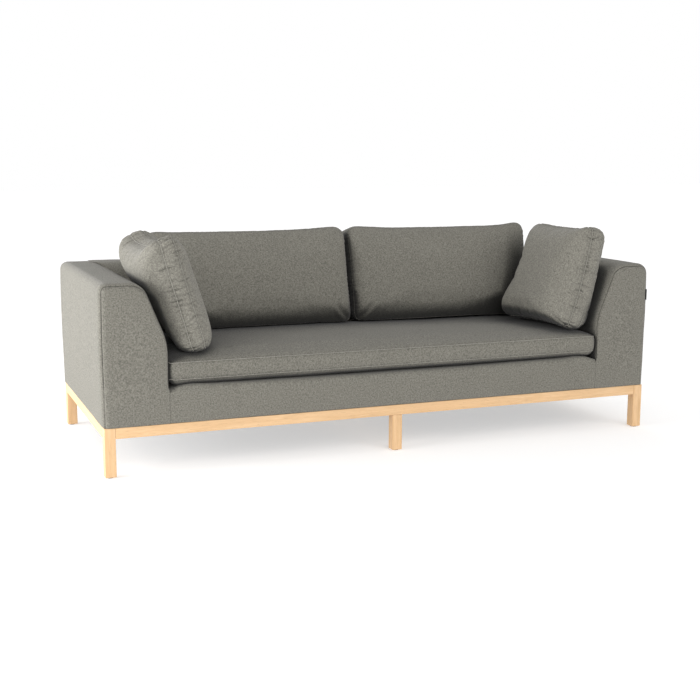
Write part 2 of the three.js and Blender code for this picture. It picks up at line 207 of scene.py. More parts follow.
def timber(name, axis, pale, dark, late, gloss=0.5):
    """Planed wood whose grain runs along one axis. Its spots are stretched along the grain."""
    look = Look(name, gloss, Specular_IOR_Level=0.35, Coat_Weight=0.08, Coat_Roughness=0.4)
    shift = look.node("ObjectInfo")["Random"]
    offset = look.vector("SCALE", look.node("CombineXYZ", {"X": shift, "Y": shift, "Z": shift})[0])
    offset.node.inputs["Scale"].default_value = 7.0
    look.place = look.vector("ADD", look.place, offset)

    def along(squeeze):
        return [squeeze if i == axis else 1.0 for i in range(3)]

    figure = look.noise(34, 3, 0.55, along(0.06), 1.2)
    fibre = look.noise(420, 3, 0.6, along(0.03))
    pores = look.noise(760, 1, 0.5, along(0.05))
    drift = look.noise(3.2, 1)
    colour = look.ramp(figure, (0.30, pale), (0.52, late), (0.62, pale), (0.8, dark))
    streak = look.between(fibre, 0.86, 1.10)
    pore = look.math("SUBTRACT", 1.0, look.times(look.math("GREATER_THAN", pores, 0.66), 0.16))
    shade = look.times(look.times(streak, pore), look.between(drift, 0.93, 1.07))
    height = look.math("ADD", look.times(fibre, 0.5), look.times(pore, 0.8))
    polish = look.between(fibre, gloss - 0.06, gloss + 0.1)
    return look.finish(look.shaded(colour, shade), height, 0.00025, polish)


def foam_look(name, colour, dark):
    look = Look(name, 0.9, Subsurface_Weight=0.05)
    cells = look.node("TexVoronoi", {"Vector": look.place, "Scale": 380.0})["Distance"]
    return look.finish(look.ramp(cells, (0.1, dark), (0.5, colour)), cells, 0.0008)


def webbing_look():
    """Elastic webbing, ribbed across."""
    look = Look("webbing", 0.75, Sheen_Weight=0.1)
    ribs = look.node("TexWave", {"Vector": look.place, "Scale": 120.0, "Distortion": 0.4},
                     bands_direction="Y")["Fac"]
    fluff = look.noise(600, 2)
    mixed = look.math("ADD", look.times(ribs, 0.7), look.times(fluff, 0.3))
    colour = look.ramp(mixed, (0.2, (0.012, 0.011, 0.010)), (0.8, (0.05, 0.045, 0.04)))
    return look.finish(colour, ribs, 0.0006)


def lining_look():
    """Black spun-bonded lining with its dimpled grid."""
    look = Look("lining", 0.85, Sheen_Weight=0.05)
    dimples = weave_height(look, 0.0032)
    fuzz = look.noise(900, 2)
    height = look.math("ADD", dimples, look.times(fuzz, 0.4))
    colour = look.ramp(fuzz, (0.35, (0.010, 0.010, 0.011)), (0.7, (0.028, 0.028, 0.030)))
    return look.finish(colour, height, 0.0003)


def plastic_look(name, colour, rough):
    look = Look(name, rough, Specular_IOR_Level=0.45)
    grain = look.noise(1100, 2)
    wear = look.noise(60, 3)
    dull = tuple(c * 1.35 for c in colour)
    polish = look.between(wear, rough - 0.08, rough + 0.1)
    return look.finish(look.ramp(wear, (0.4, colour), (0.75, dull)), grain, 0.0001, polish)


OAK_COLOURS = [(0.71, 0.475, 0.265), (0.56, 0.345, 0.17), (0.64, 0.41, 0.215)]
PINE_COLOURS = [(0.72, 0.50, 0.27), (0.58, 0.36, 0.17), (0.64, 0.41, 0.2)]
CLOTH_TONES = (0.090, 0.0862, 0.0725), (0.232, 0.222, 0.190)
CLOTH = melange_cloth("melange_cloth", *CLOTH_TONES, painted_shade_in_hollows=False)
# the same cloth with painted shade in hollow places, for the pieces that stand near others
CLOTH_PAINTED_SHADE = melange_cloth("melange_cloth_near", *CLOTH_TONES)
# Painted light: a lighter copy of the same cloth for the throw cushions, for the stronger light they
# catch. It has painted shade in hollow places too.
THROW_CLOTH_PAINTED_LIGHT = melange_cloth("melange_cloth_throw", (0.106, 0.1015, 0.0855), (0.27, 0.258, 0.221))
# Painted highlight: a lighter copy of the cloth for the seam cords of the seat and throw cushions,
# for the light their ridges catch.
SEAM_CLOTH_PAINTED_HIGHLIGHT = melange_cloth("melange_cloth_edge", (0.19, 0.182, 0.155), (0.33, 0.318, 0.28))
OAK = [timber(f"oak_along_{axis}", i, *OAK_COLOURS) for i, axis in enumerate("xyz")]
PINE = [timber(f"pine_along_{axis}", i, *PINE_COLOURS, 0.7) for i, axis in enumerate("xyz")]
FOAM = foam_look("foam", (0.78, 0.72, 0.5), (0.6, 0.52, 0.32))
FILLING = foam_look("filling", (0.85, 0.84, 0.8), (0.7, 0.69, 0.65))
WEBBING = webbing_look()
LINING = lining_look()
GLIDE = plastic_look("glide_plastic", (0.035, 0.033, 0.031), 0.45)
ZIP = plastic_look("zip_plastic", (0.09, 0.088, 0.082), 0.35)
ZIP_TAPE = melange_cloth("zip_tape", (0.10, 0.096, 0.085), (0.18, 0.17, 0.155), 0.0012, False)
TAG = melange_cloth("tag_cloth", (0.006, 0.006, 0.007), (0.016, 0.016, 0.018), 0.0011, False)


# ---- meshes ----------------------------------------------------------------------------------


def new_piece(mesh, look, body):
    """A piece in the row frame that rides on a CAD body. It has its mesh's name."""
    mesh.materials.append(look)
    piece = bpy.data.objects.new(mesh.name, mesh)
    scene.collection.objects.link(piece)
    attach(piece, body)
    return piece


def mesh_piece(name, points, faces, look, body):
    """A smooth-shaded piece from points and faces."""
    mesh = bpy.data.meshes.new(name)
    mesh.from_pydata([tuple(p) for p in points], [], [tuple(f) for f in faces])
    mesh.validate()
    mesh.polygons.foreach_set("use_smooth", [True] * len(mesh.polygons))
    return new_piece(mesh, look, body)


def points_of(piece):
    points = np.zeros(len(piece.data.vertices) * 3)
    piece.data.vertices.foreach_get("co", points)
    return points.reshape(-1, 3)


def normals_of(piece):
    normals = np.zeros(len(piece.data.vertices) * 3)
    piece.data.vertex_normals.foreach_get("vector", normals)
    return normals.reshape(-1, 3)


def move_points(piece, points):
    piece.data.vertices.foreach_set("co", np.asarray(points, np.float32).ravel())
    piece.data.update()


def paint_crease_shade(piece, shade):
    """Paints shade into creases, from 0 to 1 at each point: the cloth material is made darker there.
    """
    layers = piece.data.attributes
    layer = layers.get("crease") or layers.new("crease", "FLOAT", "POINT")
    before = np.zeros(len(shade))
    layer.data.foreach_get("value", before)
    layer.data.foreach_set("value", np.clip(np.maximum(before, shade), 0, 1))


def paint_shade_within(piece, reach):
    """Sets how far the cloth's painted shade looks for other pieces that would shade it, at each
    point or for all.
    """
    layer = piece.data.attributes.new("reach", "FLOAT", "POINT")
    each = np.broadcast_to(reach, len(piece.data.vertices))
    layer.data.foreach_set("value", each.astype(np.float32))


def subdivide(piece):
    """One applied round of subdivision."""
    modifier = piece.modifiers.new("fine", "SUBSURF")
    modifier.levels = 1
    evaluated = piece.evaluated_get(bpy.context.evaluated_depsgraph_get())
    fine = bpy.data.meshes.new_from_object(evaluated)
    piece.modifiers.clear()
    old = piece.data
    fine.name = old.name
    piece.data = fine
    bpy.data.meshes.remove(old)
    fine.name = piece.name


def smooth_step(value, low, high):
    t = np.clip((value - low) / (high - low), 0, 1)
    return t * t * (3 - 2 * t)


def nearest(points, targets):
    """For each point, which target is the nearest and how far away it is."""
    tree = KDTree(len(targets))
    for i, target in enumerate(targets):
        tree.insert(target, i)
    tree.balance()
    found = [tree.find(p) for p in points]
    return np.array([f[1] for f in found]), np.array([f[2] for f in found])


def waves(points, size, seed):
    """Smooth noise from -1 to 1 at each point, with features of that size."""
    shift = Vector((seed * 17.3, seed * -9.1, seed * 5.7))
    return np.array([noise.noise(Vector(p) / size + shift) for p in points])


SHARPEST = 0.0004  # the smallest radius of a rounded corner


def rounded(corners, grow=0.0, step=0.012):
    """Points round a convex outline of (u, v, radius) corners, anticlockwise, grown by `grow`.
    However much it grows, the outline has the same number of points."""
    flat = [Vector(c[:2]) for c in corners]
    arcs, plain = [], []
    for i, corner in enumerate(flat):
        before = (corner - flat[i - 1]).normalized()
        after = (flat[(i + 1) % len(flat)] - corner).normalized()
        out = [Vector((d.y, -d.x)) for d in (before, after)]
        to_corner = (out[0] + out[1]) / (1 + out[0].dot(out[1]))
        start = math.atan2(out[0].y, out[0].x)
        turn = (math.atan2(out[1].y, out[1].x) - start) % (2 * math.pi)
        for kept, extra in ((arcs, grow), (plain, 0.0)):
            radius = max(corners[i][2] + extra, SHARPEST)
            kept.append((corner + to_corner * (extra - radius), radius, start, turn))

    def on_arc(arc, t):
        centre, radius, start, turn = arc
        angle = start + turn * t
        return centre + Vector((math.cos(angle), math.sin(angle))) * radius

    points = []
    for i, arc in enumerate(arcs):
        steps = max(3, math.ceil(plain[i][1] * arc[3] / step))
        points += [on_arc(arc, k / steps) for k in range(steps + 1)]
        after = (i + 1) % len(arcs)
        end, begin = points[-1], on_arc(arcs[after], 0)
        length = (on_arc(plain[after], 0) - on_arc(plain[i], 1)).length
        steps = max(1, round(length / step))
        points += [end.lerp(begin, k / steps) for k in range(1, steps)]
    return np.array(points)


def quads_of(grid):
    """The four corners of each cell in a grid of point numbers."""
    corners = [grid[:-1, :-1], grid[:-1, 1:], grid[1:, 1:], grid[1:, :-1]]
    return np.stack(corners, -1).reshape(-1, 4)


def rim_of(grid):
    """The point numbers round a grid's rim."""
    return np.concatenate([grid[0, :-1], grid[:-1, -1], grid[-1, :0:-1], grid[:0:-1, 0]])


def columns(x, y, z):
    """Points from their coordinates, each an array or one number for all."""
    return np.stack(np.broadcast_arrays(x, y, z), 1)


def eased(radius):
    """(distance from an end, growth) of the rings that round its edge off."""
    return [(radius * (1 - math.sin(t)), -radius * (1 - math.cos(t)))
            for t in (math.pi / 2, math.pi / 3, math.pi / 6, 0)]


def lofted(rings, closed_ends=True, flip=False):
    """Quads over rings of points, with a fan over each end. Returns points and faces."""
    count = len(rings[0])
    points = [p for ring in rings for p in ring]
    faces = []
    for r in range(len(rings) - 1):
        for i in range(count):
            a, b = r * count + i, r * count + (i + 1) % count
            faces.append((a, b, b + count, a + count))
    if closed_ends:
        for ring, order in ((0, -1), (len(rings) - 1, 1)):
            points.append(np.mean(rings[ring], axis=0))
            base, middle = ring * count, len(points) - 1
            fan = [(base + i, base + (i + 1) % count, middle) for i in range(count)]
            faces += [f[::order] for f in fan]
    if flip:
        faces = [f[::-1] for f in faces]
    return np.array(points), faces


def tube(name, path, radius, look, body, sides=6):
    """A thin cord along a closed run of points: the ridge of a sewn seam."""
    ahead = np.roll(path, -1, 0) - np.roll(path, 1, 0)
    ahead /= np.linalg.norm(ahead, axis=1)[:, None]
    middle = path.mean(0)
    outward = path - middle
    outward -= (outward * ahead).sum(1)[:, None] * ahead
    outward /= np.linalg.norm(outward, axis=1)[:, None]
    across = np.cross(ahead, outward)
    angles = [2 * math.pi * k / sides for k in range(sides)]
    rings = [
        [p + radius * (math.cos(a) * o + math.sin(a) * c) for a in angles]
        for p, o, c in zip(path, outward, across)
    ]
    points, faces = lofted(rings + [rings[0]], closed_ends=False)
    kept = len(points) - sides
    faces = [tuple(i % kept for i in f) for f in faces]
    return mesh_piece(name, points[:kept], faces, look, body)


# ---- timber base -----------------------------------------------------------------------------

ARRIS = 0.0016  # radius of the eased edges


def eased_bar(name, low, high, axis, stations=10):
    """A square oak bar with eased edges and ends, along one axis, in place of the CAD one."""
    low, high = np.array(low), np.array(high)
    others = [i for i in range(3) if i != axis]
    (u0, v0), (u1, v1) = low[others], high[others]
    section = [(u0, v0, ARRIS), (u1, v0, ARRIS), (u1, v1, ARRIS), (u0, v1, ARRIS)]
    rings = []
    along = [(low[axis] + d, g) for d, g in eased(ARRIS)]
    inner = np.linspace(low[axis] + ARRIS, high[axis] - ARRIS, stations + 2)[1:-1]
    along += [(x, 0.0) for x in inner] + [(high[axis] - d, g) for d, g in eased(ARRIS)[::-1]]
    for x, grow in along:
        outline = rounded(section, grow, 0.01)
        ring = np.zeros((len(outline), 3))
        ring[:, others] = outline
        ring[:, axis] = x
        rings.append(ring)
    points, faces = lofted(rings, flip=(axis == 1))
    bar = mesh_piece(f"oak_{name}", points, faces, OAK[axis], "sofa_body")
    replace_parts(bar, name)


def add_timber_base():
    """Legs and outer rails with eased edges in place of the sharp CAD ones."""
    legs = {}
    for end in ENDS:
        for side in ("left", "centre", "right"):
            low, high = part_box(f"{end}_{side}_leg")
            if side == "centre":
                high.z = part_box(f"{end}_rail")[0].z - CLEAR / 2
            legs[end, side] = low, high
            eased_bar(f"{end}_{side}_leg", low, high, 2)
    for end in ENDS:
        low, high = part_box(f"{end}_rail")
        low.x = legs[end, "left"][1].x + CLEAR / 2
        high.x = legs[end, "right"][0].x - CLEAR / 2
        eased_bar(f"{end}_rail", low, high, 0, 40)
    for side in SIDES:
        low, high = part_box(f"{side}_side_rail")
        low.y = legs["front", side][1].y + CLEAR / 2
        high.y = legs["rear", side][0].y - CLEAR / 2
        eased_bar(f"{side}_side_rail", low, high, 1, 20)


def dress_frame():
    """Procedural materials for the CAD nodes that stay."""
    by_word = [
        ("cross_rail", PINE[1]), ("corner_block", PINE[0]), ("front_board", PINE[0]),
        ("rear_board", PINE[0]), ("left_board", PINE[1]), ("right_board", PINE[1]),
        ("arm_frame", PINE[1]), ("back_frame", PINE[0]), ("foam", FOAM), ("pad", FOAM),
        ("webbing", WEBBING), ("glide", GLIDE), ("dust_sheet", LINING), ("zip", ZIP),
        ("core", FILLING), ("cover", CLOTH), ("tag", TAG), ("side_rail", OAK[1]),
        ("rail", OAK[0]), ("leg", OAK[2]),
    ]
    for name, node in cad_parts.items():
        look = next(look for word, look in by_word if word in name)
        for slot in node.material_slots:
            slot.material = look


def add_dust_sheet():
    """The black lining under the body, pulled tight but slack between the rails."""
    low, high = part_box("dust_sheet")
    xs = np.linspace(low.x, high.x, 181)
    ys = np.linspace(low.y, high.y, 75)
    middle, thick = (low.z + high.z) / 2, (high.z - low.z) / 2 - 0.0001
    rail = 0.04  # width of the rails that hold it
    deepest, wrinkle = 0.0035, 0.0005
    upper, lower = [], []
    for y in ys:
        for x in xs:
            bay = min(abs(x) - rail, high.x - abs(x) - 2 * rail, high.y - abs(y) - 2 * rail)
            uneven = 1 + 0.5 * noise.noise(Vector((x, y, 0)) * 6)
            sag = deepest * min(max(bay / 0.12, 0), 1) * uneven
            crease = wrinkle * noise.noise(Vector((x * 28, y * 9, 3))) * min(max(bay / 0.04, 0), 1)
            for points, offset in ((upper, thick), (lower, -thick)):
                points.append((x, y, middle + offset - sag + crease))
    count = len(upper)
    grid = np.arange(count).reshape(len(ys), len(xs))
    faces = []
    for quad in quads_of(grid):
        faces += [tuple(quad), tuple(count + quad[[0, 3, 2, 1]])]
    rim = rim_of(grid)
    for a, b in zip(rim, np.roll(rim, -1)):
        faces.append((a, count + a, count + b, b))
    sheet = mesh_piece("lining_sheet", upper + lower, faces, LINING, "sofa_body")
    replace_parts(sheet, "dust_sheet")


# ---- upholstered body ------------------------------------------------------------------------

PANEL_SEAM = 48  # where the panel seam runs on the edge: 90 is the flat face, 0 the side
EDGE_ANGLES = (90, 82, 73, 63, 53, PANEL_SEAM, 43, 34, 23, 11, 0)
SEAM_DEPTH = {PANEL_SEAM: 0.0024, PANEL_SEAM + 5: 0.0006, PANEL_SEAM - 5: 0.0006}
BODY_PADDING = (0.0011, 0.16, 1)  # for arms and platform alike, so that they stay flush
FOLD_ANGLE = math.radians(45)  # edges sharper than this look creased
WALL_STEP = 0.014  # between the rings of a wall


def edge_stations(radius, seamed):
    """(distance from the end face, growth, seam) over a rounded edge, with a seam sunk in it."""
    made = []
    for angle in EDGE_ANGLES:
        reach = radius - (SEAM_DEPTH.get(angle, 0.0) if seamed else 0.0)
        turn = math.radians(angle)
        made.append((radius - reach * math.sin(turn), -radius + reach * math.cos(turn),
                     float(seamed and angle == PANEL_SEAM)))
    return made


def wall_rings(corners, low, high, step, ring_at, edge=EDGE, cap=8):
    """Rings of a padded wall from one end face to the other, and which of them are seams.
    ring_at(outline, station, growth) places an outline in the row frame. Each end face bulges
    a little, over `cap` rings, and an edge as round as EDGE has the panel seam sunk in it."""
    bulge = 0.003
    plan = []
    for place, sign in ((low, 1), (high, -1)):
        end = [(place + sign * d, g, 1.0, seam) for d, g, seam in edge_stations(edge, edge == EDGE)]
        inner = end[0][1]
        domed = [(place - sign * bulge * (1 - (k / cap) ** 2), inner, k / cap, 0.0)
                 for k in range(1, cap)]
        plan.append(domed + end)
    count = max(2, round((high - low) / step))
    between = [(x, 0.0, 1.0, 0.0) for x in np.linspace(low + edge, high - edge, count)[1:-1]]
    rings, seams = [], []
    for place, grow, scale, seam in plan[0] + between + plan[1][::-1]:
        flat = rounded(corners, grow)
        middle = flat.mean(0)
        rings.append(ring_at(middle + (flat - middle) * scale, place, grow if scale == 1 else 0.0))
        seams += [seam] * len(flat)
    return rings, seams + [0.0, 0.0]  # the last two are the middles of the ends


def soften(piece, amount, size, seed, fine=0.0004):
    """Slight unevenness of padding under cloth: `amount` in swells of that size, and `fine` in
    small ones."""
    points, normals = points_of(piece), normals_of(piece)
    swell = amount * waves(points, size, seed) + fine * waves(points, 0.035, seed + 3)
    move_points(piece, points + normals * swell[:, None])


def add_arm(side_name):
    side = SIDES[side_name]

    def ring_at(flat, y, grow):
        # the inner edge is tighter than the outer one, and square beside the platform, to meet it
        # flush. The hem is square too.
        low = 1 - smooth_step(flat[:, 1], DECK_TOP - 0.012, DECK_TOP + 0.006)
        inner = smooth_step(flat[:, 0], WALL_TOP - 0.045, WALL_TOP + 0.005)
        tighter = 0.62
        wider = side * grow * (tighter + (1 - tighter) * low) * inner * (y < 0)
        higher = grow * (1 - smooth_step(flat[:, 1], HEM + 0.02, HEM + 0.045))
        return columns(side * (HALF_WIDTH - flat[:, 0]) + wider, y, flat[:, 1] + higher)

    top_radius = {"left": EDGE, "right": 0.042}[side_name]
    corners = WALL_CORNERS[:-1] + [(0, BODY_TOP, top_radius)]
    rings, seams = wall_rings(corners, -HALF_DEPTH, HALF_DEPTH, WALL_STEP, ring_at)
    points, faces = lofted(rings, flip=(side < 0))
    # the padding makes the outer side a little fuller in its upper half
    fuller, front_fall, rear_fall = 0.0035, 0.0015, 0.004
    outer = smooth_step(side * points[:, 0], HALF_WIDTH - 0.03, HALF_WIDTH - 0.002)
    belly = np.sin(np.pi * np.clip((points[:, 2] - HEM) / (BODY_TOP - HEM), 0, 1) ** 1.5)
    points[:, 0] += side * fuller * outer * belly
    # the top falls a little towards the front, where the padding is rolled over the edge
    front = smooth_step(-points[:, 1], 0.24, HALF_DEPTH)
    points[:, 2] -= front_fall * front * smooth_step(points[:, 2], 0.45, BODY_TOP)
    # the rear corners are rounder towards the top
    rear = smooth_step(points[:, 1], HALF_DEPTH - 0.09, HALF_DEPTH)
    points[:, 2] -= rear_fall * rear * smooth_step(points[:, 2], 0.5, BODY_TOP)
    arm = mesh_piece(f"{side_name}_arm", points, faces, CLOTH_PAINTED_SHADE, "sofa_body")
    arm.data.set_sharp_from_angle(angle=FOLD_ANGLE)
    soften(arm, *BODY_PADDING)
    # painted shade along the panel seam above the seat, and where other pieces stand near
    paint_crease_shade(arm, np.array(seams) * smooth_step(points[:, 2], DECK_TOP, DECK_TOP + 0.02))
    paint_shade_within(arm, 0.05)
    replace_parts(arm, f"{side_name}_arm_cover", f"{side_name}_arm_foam")
    return arm


def inner_reach(height):
    """How far a wall's inner face stands from its outer one at that height."""
    section = rounded(WALL_CORNERS, 0.0, 0.004)
    inner = section[section[:, 0] > WALL_TOP - 0.055]
    order = np.argsort(inner[:, 1])
    return np.interp(height, inner[order, 1], inner[order, 0])


def add_backrest():
    """The padded back between the arms. Its ends follow the arms' inner faces."""
    radius = 0.0075  # of its ends, where it meets the arms
    stations = [(-1, d, g) for d, g in eased(radius)]
    stations += [(0, s, 0.0) for s in np.linspace(-1, 1, 130)[1:-1]]
    stations += [(1, d, g) for d, g in eased(radius)[::-1]]
    rings = []
    for sign, place, grow in stations:
        flat = rounded(WALL_CORNERS, grow)
        half = HALF_WIDTH - inner_reach(flat[:, 1]) - CLEAR
        x = sign * (half - place) if sign else place * (half - radius)
        rings.append(columns(x, HALF_DEPTH - flat[:, 0], flat[:, 1]))
    points, faces = lofted(rings, flip=True)
    # its top is lowest in the middle
    dip = 0.004 * (1 - smooth_step(np.abs(points[:, 0]), 0.5, 1.0))
    points[:, 2] -= dip * smooth_step(points[:, 2], 0.6, BODY_TOP)
    back = mesh_piece("backrest", points, faces, CLOTH, "sofa_body")
    soften(back, 0.0012, 0.2, 4)
    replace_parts(back, "back_cover", "back_foam")
    return back


def add_seat_platform():
    """The padded deck under the seat cushion, with its apron in front."""
    corners = [
        (-HALF_DEPTH, HEM, HEM_RADIUS),
        (SEAT_REAR, HEM, HEM_RADIUS),
        (SEAT_REAR, DECK_TOP, HEM_RADIUS),
        (-HALF_DEPTH, DECK_TOP, 0.016),
    ]

    def ring_at(flat, x, grow):
        return columns(x, flat[:, 0], flat[:, 1])

    half = SEAT_HALF + CLEAR / 2
    rings, _ = wall_rings(corners, -half, half, WALL_STEP, ring_at, SHARPEST, cap=3)
    points, faces = lofted(rings)
    # the apron's top edge dips beside the arms, swells next to the dip, and is slack mid-way
    from_end = SEAT_HALF - np.abs(points[:, 0])
    near_top = smooth_step(points[:, 2], 0.25, DECK_TOP)
    near_front = 1 - smooth_step(points[:, 1], -0.40, -0.2)
    deep = np.where(points[:, 0] < 0, 0.015, 0.010)
    dip = deep * np.exp(-(from_end / 0.024) ** 2)
    swell = 0.0055 * np.exp(-((from_end - 0.085) / 0.05) ** 2)
    slack = 0.0040 * (1 - smooth_step(np.abs(points[:, 0]), 0.2, 0.8))
    points[:, 2] -= (dip - swell + slack) * near_top * near_front
    platform = mesh_piece("seat_platform", points, faces, CLOTH, "sofa_body")
    platform.data.set_sharp_from_angle(angle=FOLD_ANGLE)
    soften(platform, *BODY_PADDING)
    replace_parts(platform, "seat_cover", "seat_pad")
    return platform


# ---- loose cushions --------------------------------------------------------------------------


def round_corners(x, y, half_x, half_y, radius):
    """Moves a rectangular grid's points so that its corners are rounded and its edges stay."""
    block = min(half_x, half_y, 2.6 * radius)  # of the grid at each corner that moves
    p = np.clip((np.abs(x) - (half_x - block)) / block, 0, 1)
    q = np.clip((np.abs(y) - (half_y - block)) / block, 0, 1)
    ring = np.maximum(p, q)
    inside = (p > 0) & (q > 0)
    share = np.where(inside, np.minimum(p, q) / np.maximum(ring, TINY), 0)
    size = ring * block
    arc = radius * ring ** 2
    run = size - arc
    length = share * (run + arc * math.pi / 4)
    angle = np.where(length > run, (length - run) / np.maximum(arc, TINY), 0)
    major = np.where(length > run, run + arc * np.cos(angle), size)
    minor = np.where(length > run, run + arc * np.sin(angle), length)
    new_p = np.where(p >= q, major, minor)
    new_q = np.where(p >= q, minor, major)
    new_x = np.where(inside, np.sign(x) * (half_x - block + new_p), x)
    new_y = np.where(inside, np.sign(y) * (half_y - block + new_q), y)
    return new_x, new_y


def box_cushion(width, height, gusset, radius, crowns, step, bow, tuck):
    """A closed box cushion about its middle: x across, y up, z through. `crowns` give how far the
    front (+z) and rear faces rise beyond the gusset at (u, v) from -1 to 1. The gusset bows out,
    and the sides are tucked in between the corners. Returns points, faces and the indices of both
    seams and of the gusset's middle."""
    nx, ny = round(width / step), round(height / step)
    u, v = np.meshgrid(np.linspace(-1, 1, nx + 1), np.linspace(-1, 1, ny + 1))
    x, y = round_corners(u * width / 2, v * height / 2, width / 2, height / 2, radius)
    x = x - u * tuck[0] * (1 - v ** 2)
    y = y - np.where(v > 0, tuck[1], tuck[0]) * v * (1 - u ** 2)
    grid = np.arange((nx + 1) * (ny + 1)).reshape(ny + 1, nx + 1)
    rim = rim_of(grid)
    panels = []
    for sign, crown in zip((1, -1), crowns):
        z = sign * (gusset / 2 + crown(u, v))
        panels.append(np.stack([x.ravel(), y.ravel(), z.ravel()], 1))
    count = len(panels[0])
    points = [*panels[0], *panels[1]]
    quads = quads_of(grid)
    faces = [tuple(q) for q in quads] + [tuple(q[::-1] + count) for q in quads]
    rings = [rim + count]
    strips = max(2, round(gusset / step))
    edge = panels[0][rim]
    ahead = np.roll(edge, -1, 0) - np.roll(edge, 1, 0)
    outward = np.stack([ahead[:, 1], -ahead[:, 0]], 1)
    outward /= np.linalg.norm(outward, axis=1)[:, None]
    for k in range(1, strips):
        t = k / strips
        ring = edge.copy()
        ring[:, :2] += outward * bow * 4 * t * (1 - t)
        ring[:, 2] = gusset * (t - 0.5)
        rings.append(np.arange(len(points), len(points) + len(rim)))
        points += list(ring)
    rings.append(rim)
    for lower, upper in zip(rings, rings[1:]):
        for i in range(len(rim)):
            j = (i + 1) % len(rim)
            faces.append((lower[i], lower[j], upper[j], upper[i]))
    middle = rings[len(rings) // 2]
    return np.array(points), faces, (rim, rim + count, middle)


def crown_of(u, v, across, up, edge):
    """How full a cushion's face is at (u, v): 1 in its middle, flatter there for higher powers
    across and up, and 0 along its seams."""
    return ((1 - np.abs(u) ** across) * (1 - np.abs(v) ** up)) ** edge


def inflate(piece, seams, pressure, slack, stop, cap, bend=0.4):
    """Fills the piece with cloth simulation while its seams are held. Away from them the cloth is
    `slack` longer than it lies, so it gathers along them, and no point moves further than `cap`."""
    start = points_of(piece)
    held = piece.vertex_groups.new(name="seam")
    for seam in seams:
        held.add([int(i) for i in seam], 1.0, "REPLACE")
    cloth = piece.modifiers.new("fill", "CLOTH")
    filling = {
        "quality": 5, "mass": 0.25, "air_damping": 2.0, "tension_stiffness": 18,
        "compression_stiffness": 10, "shear_stiffness": 6, "bending_stiffness": bend,
        "tension_damping": 10, "compression_damping": 10, "shear_damping": 10,
        "bending_damping": 1.0, "use_pressure": True, "uniform_pressure_force": pressure,
        "vertex_group_mass": "seam", "vertex_group_shrink": "seam", "shrink_min": -slack,
        "shrink_max": 0.0,
    }
    for setting, value in filling.items():
        setattr(cloth.settings, setting, value)
    cloth.settings.effector_weights.gravity = 0
    cloth.collision_settings.use_collision = False
    cloth.point_cache.frame_start = 1
    cloth.point_cache.frame_end = stop
    for moment in range(1, stop + 1):
        scene.frame_set(moment)
    evaluated = piece.evaluated_get(bpy.context.evaluated_depsgraph_get())
    moved = np.zeros(len(start) * 3)
    evaluated.data.vertices.foreach_get("co", moved)
    piece.modifiers.clear()
    scene.frame_set(1)
    shift = moved.reshape(-1, 3) - start
    length = np.linalg.norm(shift, axis=1)
    limit = cap * np.tanh(length / cap)
    move_points(piece, start + shift * (limit / np.maximum(length, TINY))[:, None])
    piece.vertex_groups.clear()


def creased(away, width):
    """A crease's groove and the ridges beside it, each from 0 to 1, that far from its line."""
    return np.exp(-(away / width) ** 2), np.exp(-((away - 1.9 * width) / width) ** 2)


def gather(piece, paths, seed, spacing, reach, depth, width=0.0038, strength=None):
    """Presses short pleats into the cloth, square to each seam and fading away from it. strength
    gives how deep they are, from 0 to 1, where the seam runs in a given direction."""
    draw = np.random.default_rng(seed)
    points, normals = points_of(piece), normals_of(piece)
    shade = np.zeros(len(points))
    for path in paths:
        steps = np.linalg.norm(np.roll(path, -1, 0) - path, axis=1)
        lengths = np.concatenate([[0], np.cumsum(steps)])
        total = lengths[-1]
        index, away = nearest(points, path)
        near = np.where(away < 2.2 * reach)[0]
        index = index[near]
        ahead = np.roll(path, -1, 0)[index] - np.roll(path, 1, 0)[index]
        ahead /= np.linalg.norm(ahead, axis=1)[:, None]
        along = lengths[index] + ((points[near] - path[index]) * ahead).sum(1)
        off = np.sqrt(np.maximum(away[near] ** 2 - (along - lengths[index]) ** 2, 0))
        push = np.zeros(len(near))
        position = draw.uniform(0, spacing)
        while position < total:
            # each pleat has its own length, depth, width and slant
            long = reach * draw.uniform(0.45, 1.6)
            deep = depth * draw.uniform(0.3, 1.0)
            wide = width * draw.uniform(0.8, 1.4)
            slant = draw.normal(0, 0.18)
            at = int(np.searchsorted(lengths, position)) % len(path)
            if strength:
                deep *= strength(path[at], path[(at + 1) % len(path)] - path[at])
            gap = (along - position - slant * off + total / 2) % total - total / 2
            groove, ridges = creased(np.abs(gap), wide)
            fade = np.exp(-(off / long) ** 2) * smooth_step(off, 0.0008, 0.006)
            push -= deep * (groove - 0.55 * ridges) * fade
            position += spacing * draw.uniform(0.45, 1.7)
        points[near] += normals[near] * push[:, None]
        # painted shade in the pleats' grooves
        shade[near] = np.maximum(shade[near], 0.65 * smooth_step(-push, 0.25 * depth, depth))
    move_points(piece, points)
    paint_crease_shade(piece, shade)


def fold(piece, start, end, depth, width):
    """Presses one crease into the cloth from start to end, deepest in its middle."""
    points, normals = points_of(piece), normals_of(piece)
    start, end = np.array(start), np.array(end)
    run = end - start
    t = ((points - start) @ run) / (run @ run)
    away = np.linalg.norm(points - (start + np.clip(t, 0, 1)[:, None] * run), axis=1)
    fade = np.clip(np.sin(np.pi * np.clip(t, 0, 1)) * 1.6, 0, 1)
    groove, ridges = creased(away, width)
    push = -depth * (groove - 0.5 * ridges) * fade
    move_points(piece, points + normals * push[:, None])
    # painted shade in the crease's groove
    paint_crease_shade(piece, 0.75 * groove * fade)


def sink_seams(piece, paths, depth=0.0026, reach=0.0055):
    """Draws the cloth in along its seams, with painted shade along them."""
    points, normals = points_of(piece), normals_of(piece)
    _, away = nearest(points, np.concatenate(paths))
    near = np.exp(-(away / reach) ** 2)
    move_points(piece, points - normals * (depth * near)[:, None])
    paint_crease_shade(piece, 0.45 * near)


